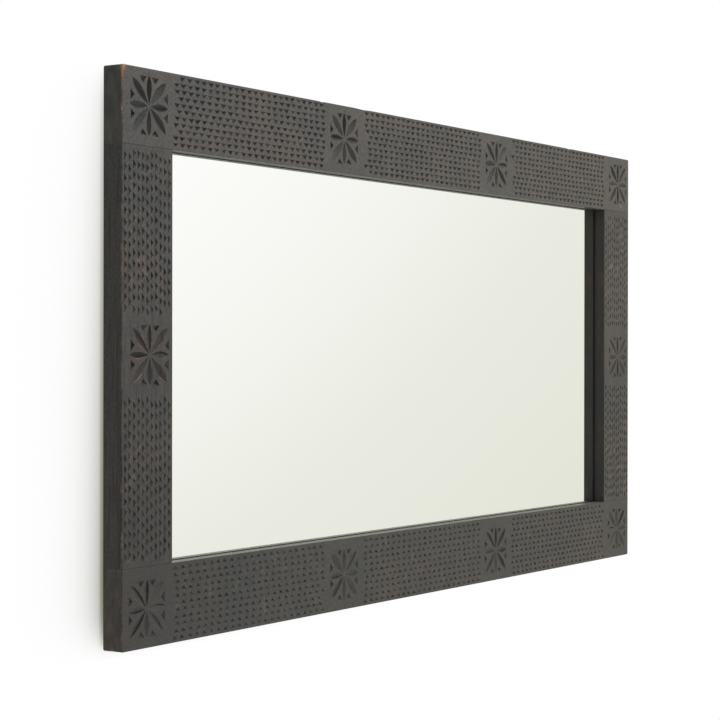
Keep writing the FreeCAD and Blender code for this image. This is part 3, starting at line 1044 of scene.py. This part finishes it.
def cross_recess(bm, y, head):
    """A cross sunk from the plane Y = y into a head of this radius. Returns the edges of its rim."""
    flat = Matrix.Translation((0, y, 0)) @ Matrix.Rotation(math.radians(-90), 4, "X")
    verts = bmesh.ops.create_grid(bm, x_segments=3, y_segments=3, size=1.5, matrix=flat)["verts"]
    faces = {face for vert in verts for face in vert.link_faces}
    middles = {face: face.calc_center_median() for face in faces}
    corners = [face for face in faces if min(abs(middles[face].x), abs(middles[face].z)) > 0.5]
    bmesh.ops.delete(bm, geom=corners, context="FACES")
    for vert in [vert for vert in verts if vert.is_valid]:
        for axis in (0, 2):
            outer = abs(vert.co[axis]) > 1
            vert.co[axis] = math.copysign(head * (RECESS_ARM if outer else RECESS_SLOT), vert.co[axis])
    cross = [face for face in faces if face.is_valid]
    rim = [edge for edge in {edge for face in cross for edge in face.edges} if edge.is_boundary]
    made = bmesh.ops.extrude_face_region(bm, geom=cross)["geom"]
    bmesh.ops.delete(bm, geom=cross, context="FACES_ONLY")
    sunk = points_of(made)
    bmesh.ops.translate(bm, verts=sunk, vec=(0, -head * RECESS_DEPTH, 0))
    bmesh.ops.scale(bm, verts=sunk, vec=(RECESS_TAPER, 1, RECESS_TAPER))
    return rim


print("recess cutter ready")

# %% One screw
SPIN_STEPS = 24
HEAD_PROFILE = ((0.45, 0.0), (0.72, 0.12), (0.93, 0.38), (1.0, 0.72), (1.0, 0.96), (0.98, 1.0))
POINT_LENGTH = 2.4
POINT_SHARE = 0.1


def spun(bm, profile, steps):
    """Turn a profile of radius and Y pairs about the Y axis."""
    verts = [bm.verts.new((radius, y, 0)) for radius, y in profile]
    edges = [bm.edges.new(pair) for pair in zip(verts, verts[1:])]
    bmesh.ops.spin(bm, geom=verts + edges, axis=(0, 1, 0), cent=(0, 0, 0), angle=2 * math.pi, steps=steps,
                   use_merge=True)


def screw_mesh(radius, head, seat, top, point):
    """A pan-headed screw on the Y axis: seat, top of the head and point are places along Y."""
    bm = bmesh.new()
    profile = [(head * across, top - (top - seat) * down) for across, down in HEAD_PROFILE]
    profile += [(radius, seat), (radius, point + POINT_LENGTH * radius), (radius * POINT_SHARE, point)]
    spun(bm, profile, SPIN_STEPS)
    open_rims = [edge for edge in bm.edges if edge.is_boundary]
    tip = [edge for edge in open_rims if edge.verts[0].co.y < seat]
    bmesh.ops.edgeloop_fill(bm, edges=tip)
    crown = [edge for edge in open_rims if edge.verts[0].co.y > seat]
    rim = cross_recess(bm, top, head)
    bmesh.ops.triangle_fill(bm, edges=crown + rim, use_beauty=True, normal=(0, 1, 0))
    bmesh.ops.recalc_face_normals(bm, faces=bm.faces)
    return mesh_from(bm, "screw")


print("screw turner ready")

# %% [markdown]
# ## Screws in their places
# A CAD node of screws holds several separate solids. Walking from point to point along the edges finds
# each of them, and the corners of its box say where a turned screw goes. Each recess is turned as it
# happened to stop.

# %% Screws
FITTING_SHARP = math.radians(32)
STRAP_FACE = BACK_Y + 1.5 * MM
BACKING_SHANK = 3.5 * MM
HANGER_SHANK = 4 * MM


def solid_boxes(node):
    """Lowest and highest corner of every separate solid of a CAD node."""
    bm = bmesh.new()
    bm.from_mesh(nodes[node].data)
    bmesh.ops.remove_doubles(bm, verts=bm.verts, dist=MERGE_GAP)
    boxes = []
    left = set(bm.verts)
    while left:
        island = {left.pop()}
        rim = list(island)
        while rim:
            vert = rim.pop()
            for edge in vert.link_edges:
                other = edge.other_vert(vert)
                if other not in island:
                    island.add(other)
                    rim.append(other)
        left -= island
        places = [vert.co for vert in island]
        boxes.append((Vector(map(min, *places)), Vector(map(max, *places))))
    bm.free()
    return sorted(boxes, key=lambda box: tuple(box[0]))


def turned_screws(node, shank_diameter, seat):
    """Replace a node of screws by turned ones in the same places."""
    bm = bmesh.new()
    draw = random.Random(len(node))
    for low, high in solid_boxes(node):
        mesh = screw_mesh(shank_diameter / 2, (high.x - low.x) / 2, seat, high.y, low.y)
        middle = Vector(((low.x + high.x) / 2, 0, (low.z + high.z) / 2))
        mesh.transform(Matrix.Translation(middle) @ Matrix.Rotation(draw.uniform(0, math.pi), 4, "Y"))
        bm.from_mesh(mesh)
        bpy.data.meshes.remove(mesh)
    mesh = mesh_from(bm, "turned_" + node)
    add_piece("turned_" + node, mesh, [steel], "frame", "zinc_plated_steel", FITTING_SHARP, node)
    print("turned_" + node, len(mesh.polygons), "faces")


turned_screws("backing_screws", BACKING_SHANK, BACK_Y)
for side in SIDES:
    turned_screws("hanger_screws_" + side, HANGER_SHANK, STRAP_FACE)

# %% [markdown]
# ## Hanger rings
# A ring is one round wire: a straight side in the knuckle, two tight bends, two short arms and a round
# crown. A curve with a round bevel would do, but bmesh keeps the mesh in hand: a circle of points is spun
# round each bend and extruded along each straight run, and the end is merged with the start.

# %% Rings
WIRE_SIDES = 16
CROWN_STEPS = 28
BEND_STEPS = 8
RING_CORNER = 6 * MM
RING_ARM = 3 * MM


def ring_piece(side):
    """Round wire ring in place of the faceted one."""
    low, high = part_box("hanger_ring_" + side)
    wire = high.y - low.y
    half = (high.x - low.x - wire) / 2
    straight = half - RING_CORNER
    pivot = Vector(((low.x + high.x) / 2, (low.y + high.y) / 2, low.z + wire / 2))
    shoulder = RING_CORNER + RING_ARM
    bm = bmesh.new()
    start = Matrix.Translation(pivot + Vector((half, 0, shoulder)))
    section = bmesh.ops.create_circle(bm, segments=WIRE_SIDES, radius=wire / 2, matrix=start)["verts"]
    loop = list({edge for vert in section for edge in vert.link_edges})
    runs = [((0, shoulder), 180, CROWN_STEPS, (0, -RING_ARM)),
            ((-straight, RING_CORNER), 90, BEND_STEPS, (2 * straight, 0)),
            ((straight, RING_CORNER), 90, BEND_STEPS, (0, RING_ARM))]
    for (x, z), angle, steps, (run_x, run_z) in runs:
        bend = bmesh.ops.spin(bm, geom=loop, cent=pivot + Vector((x, 0, z)), axis=(0, -1, 0),
                              angle=math.radians(angle), steps=steps)["geom_last"]
        loop = [item for item in bend if isinstance(item, bmesh.types.BMEdge)]
        ends = points_of(bmesh.ops.extrude_edge_only(bm, edges=loop)["geom"])
        bmesh.ops.translate(bm, verts=ends, vec=(run_x, 0, run_z))
        loop = [edge for edge in {edge for vert in ends for edge in vert.link_edges} if edge.is_boundary]
    bmesh.ops.remove_doubles(bm, verts=bm.verts, dist=MERGE_GAP)
    bmesh.ops.recalc_face_normals(bm, faces=bm.faces)
    mesh = mesh_from(bm, "wire_ring_" + side)
    add_piece("wire_ring_" + side, mesh, [steel], "ring_" + side, "zinc_plated_steel", FITTING_SHARP,
              "hanger_ring_" + side)
    print("wire_ring_" + side, len(mesh.polygons), "faces")


for side in SIDES:
    ring_piece(side)

# %% [markdown]
# ## Rubber bumpers
# Four round pads keep the frame off the wall. The profile has the moulded taper, a soft rim and a shallow
# dish in the face that meets the wall. Spinning it once round makes the whole pad, where a cylinder would
# have sharp rims.

# %% Rubber
RUBBER_DARK = (0.018, 0.018, 0.018, 1)
RUBBER_GREY = (0.035, 0.035, 0.034, 1)
BLOOM = {"scale": 240, "detail": 3}
BLOOM_SPREAD = (0.35, 0.7)
BLOOM_RELIEF = (0.15, 0.2 * MM)
rubber = clouded("moulded_rubber", RUBBER_DARK, RUBBER_GREY, BLOOM, BLOOM_SPREAD, BLOOM_RELIEF,
                 Roughness=0.68)
print("rubber made")

# %% Bumpers
BUMPER_STEPS = 40
BUMPER_TAPER = 1.5 * MM
BUMPER_RIM = 1 * MM
BUMPER_SHOULDER = 0.3 * MM
BUMPER_LAND = 2 * MM
BUMPER_SLOPE = 1 * MM
BUMPER_DISH = 0.4 * MM


def bumper_piece(corner):
    """Moulded pad in place of the faceted one."""
    low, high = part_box("wall_bumper_" + corner)
    foot = (high.x - low.x) / 2
    head = foot - BUMPER_TAPER
    land = head - BUMPER_RIM - BUMPER_LAND
    dish = high.y - BUMPER_DISH
    bm = bmesh.new()
    spun(bm, [(0, low.y), (foot, low.y), (head, high.y - BUMPER_RIM),
              (head - BUMPER_SHOULDER, high.y - BUMPER_SHOULDER), (head - BUMPER_RIM, high.y),
              (land, high.y), (land - BUMPER_SLOPE, dish), (0, dish)], BUMPER_STEPS)
    bmesh.ops.remove_doubles(bm, verts=bm.verts, dist=MERGE_GAP)
    bmesh.ops.recalc_face_normals(bm, faces=bm.faces)
    bmesh.ops.translate(bm, verts=bm.verts, vec=((low.x + high.x) / 2, 0, (low.z + high.z) / 2))
    mesh = mesh_from(bm, "moulded_bumper_" + corner)
    add_piece("moulded_bumper_" + corner, mesh, [rubber], "frame", "rubber_bumper", FITTING_SHARP,
              "wall_bumper_" + corner)


for corner in CORNERS:
    bumper_piece(corner)
print(len(CORNERS), "bumpers moulded")

# %% [markdown]
# ## Wall and floor
# The mirror hangs on a white wall above a pale floor. Both belong to the stage. The wall shows to the
# camera only, and only from its front, so that the back of the mirror can be looked at too. Under light
# from all round, the shadow of the frame is the share of the surround that the frame hides from the wall,
# which an Ambient Occlusion node gives. A power of that share keeps the shadow to the left side, makes it
# deeper towards the bottom and lets it fade out past the ends.

# %% White wall
WHITE = (1, 1, 1, 1)
WALL_SHADOW = (0.08, 0.07, 0.0, 1)
SHADOW_REACH = 0.2
SHADOW_LOW = -0.5
SHADOW_HIGH = 0.5
SHADOW_STOPS = ((0.03, 0.0), (0.06, 0.4), (0.1, 0.85), (0.15, 0.95), (0.28, 0.85), (0.5, 0.64), (0.6, 0.55),
                (0.8, 0.37), (0.9, 0.22), (0.96, 0.0))


def set_ramp(ramp, stops):
    """Give a colour ramp these stops, each a spot from 0 to 1 and a colour."""
    elements = ramp.color_ramp.elements
    while len(elements) < len(stops):
        elements.new(1.0)
    for element, (spot, colour) in zip(elements, stops):
        element.position = spot
        element.color = colour


def white_wall():
    """White wall that is clear from behind."""
    material = bpy.data.materials.new("white_wall")
    material.use_nodes = True
    tree = material.node_tree
    tree.nodes.clear()
    parts = add_node(tree, "ShaderNodeSeparateXYZ", {"Vector": object_place(tree)}).outputs
    ramp = add_node(tree, "ShaderNodeValToRGB", {"Fac": between(tree, parts["Z"], SHADOW_LOW, SHADOW_HIGH)})
    set_ramp(ramp, [(spot, (deep, deep, deep, 1)) for spot, deep in SHADOW_STOPS])
    power = joined(tree, ramp.outputs["Color"], between(tree, parts["X"], 0.0, left_high.x))
    open_share = add_node(tree, "ShaderNodeAmbientOcclusion", {"Distance": SHADOW_REACH}).outputs["AO"]
    light = joined(tree, open_share, power, "POWER")
    colour = blend_colours(tree, light, WALL_SHADOW, WHITE)
    lit = add_node(tree, "ShaderNodeEmission", {"Color": colour, "Strength": 1.0})
    clear = add_node(tree, "ShaderNodeBsdfTransparent")
    behind = add_node(tree, "ShaderNodeNewGeometry").outputs["Backfacing"]
    seen = add_node(tree, "ShaderNodeMixShader", {0: behind, 1: lit.outputs[0], 2: clear.outputs[0]})
    add_node(tree, "ShaderNodeOutputMaterial", {"Surface": seen.outputs[0]})
    return material


print("wall has", len(SHADOW_STOPS), "steps of shadow")

# %% Stage
SHEET_SPAN = 6.0
WALL_GAP = 0.5 * MM
FLOOR_Z = -1.5
FLOOR_COLOUR = (0.8, 0.8, 0.79, 1)


def stage_sheet(name, matrix, material):
    """Large flat sheet of the stage."""
    bm = bmesh.new()
    bmesh.ops.create_grid(bm, x_segments=1, y_segments=1, size=SHEET_SPAN / 2, matrix=matrix)
    mesh = mesh_from(bm, name)
    mesh.materials.append(material)
    sheet = put_in_scene(name, mesh)
    return sheet


upright = Matrix.Rotation(math.radians(90), 4, "X")
wall = stage_sheet("wall", Matrix.Translation((0, WALL_GAP, 0)) @ upright, white_wall())
for ray in ("diffuse", "glossy", "transmission", "shadow"):
    setattr(wall, "visible_" + ray, False)
pale_floor = new_finish("pale_floor", Roughness=0.9, Base_Color=FLOOR_COLOUR)[0]
stage_sheet("floor", Matrix.Translation((0, 0, FLOOR_Z)), pale_floor)
print("stage set")

# %% [markdown]
# ## Light
# Soft studio light. The surround is brightest to the upper right in front and falls off all round: the
# glass shows a piece of that fall, and the satin of the wood takes its sheen from it. To the camera the
# surround is white. A large lamp above lights the top more than the bottom, a weaker one on the right
# fills in, and a third lights the fittings of the back. The lamps give no reflections of their own.

# %% Surround
FIELD_CENTRE = (0.552, -0.760, 0.342)
FIELD_LOW = 0.5
FIELD_STOPS = ((0.0, (0.475, 0.478, 0.462, 1)), (0.62, (0.79, 0.80, 0.715, 1)),
               (0.72, (0.84, 0.85, 0.785, 1)), (0.815, (0.955, 0.958, 0.935, 1)),
               (0.865, (1.005, 1.005, 1.0, 1)), (1.0, (1.9, 1.9, 1.9, 1)))


def studio_surround():
    """White to the camera, a graded field to everything else."""
    world = bpy.data.worlds.new("studio")
    bpy.context.scene.world = world
    world.use_nodes = True
    tree = world.node_tree
    tree.nodes.clear()
    heading = add_node(tree, "ShaderNodeTexCoord").outputs["Generated"]
    facing = add_node(tree, "ShaderNodeVectorMath", {0: heading, 1: FIELD_CENTRE}, operation="DOT_PRODUCT")
    share = between(tree, facing.outputs["Value"], FIELD_LOW, 1.0)
    ramp = add_node(tree, "ShaderNodeValToRGB", {"Fac": share})
    set_ramp(ramp, FIELD_STOPS)
    field = add_node(tree, "ShaderNodeBackground", {"Color": ramp.outputs["Color"], "Strength": 1.0})
    white = add_node(tree, "ShaderNodeBackground", {"Color": WHITE, "Strength": 1.0})
    camera_ray = add_node(tree, "ShaderNodeLightPath").outputs["Is Camera Ray"]
    seen = add_node(tree, "ShaderNodeMixShader", {0: camera_ray, 1: field.outputs[0], 2: white.outputs[0]})
    add_node(tree, "ShaderNodeOutputWorld", {"Surface": seen.outputs[0]})


studio_surround()
print("surround has", len(FIELD_STOPS), "steps of light")

# %% Lamps
def area_lamp(name, place, size, power):
    """Square soft lamp that looks at the middle of the mirror, with its size in metres and power in watts."""
    light = bpy.data.lights.new(name, "AREA")
    light.shape = "SQUARE"
    light.size = size
    light.energy = power
    lamp = put_in_scene(name, light)
    lamp.location = place
    lamp.rotation_euler = (-Vector(place)).to_track_quat("-Z", "Y").to_euler()
    lamp.visible_glossy = False


area_lamp("top_lamp", place=(0.9, -2.0, 3.0), size=1.8, power=85)
area_lamp("side_lamp", place=(2.6, -2.6, 1.6), size=1.8, power=28)
area_lamp("back_lamp", place=(1.5, 2.6, 1.6), size=1.5, power=35)
print("lamps set")

# %% [markdown]
# ## Camera
# The photograph is taken from the left with a long lens, about 57 degrees off square to the face. The
# pose was found by fitting the straight edges of the frame: a place, a heading from +Y towards +X, a
# slight tilt and a trace of roll.

# %% Camera
EYE = Vector((-3.26735, -2.00355, 0.00876))
HEADING = math.radians(57.2003)
TILT = math.radians(-0.2017)
ROLL = math.radians(0.0796)
LENS = 99.94
SENSOR = 36.0

ahead = Vector((math.sin(HEADING) * math.cos(TILT), math.cos(HEADING) * math.cos(TILT), math.sin(TILT)))
level = Vector((math.cos(HEADING), -math.sin(HEADING), 0))
rightwards = math.cos(ROLL) * level + math.sin(ROLL) * level.cross(ahead)
upwards = rightwards.cross(ahead)
lens = bpy.data.cameras.new("camera")
lens.lens = LENS
lens.sensor_width = SENSOR
camera = put_in_scene("camera", lens)
camera.location = EYE
camera.rotation_euler = Matrix((rightwards, upwards, -ahead)).transposed().to_euler()
bpy.context.scene.camera = camera
bpy.context.scene.view_settings.view_transform = "Standard"
print("camera at", tuple(round(value, 3) for value in EYE))
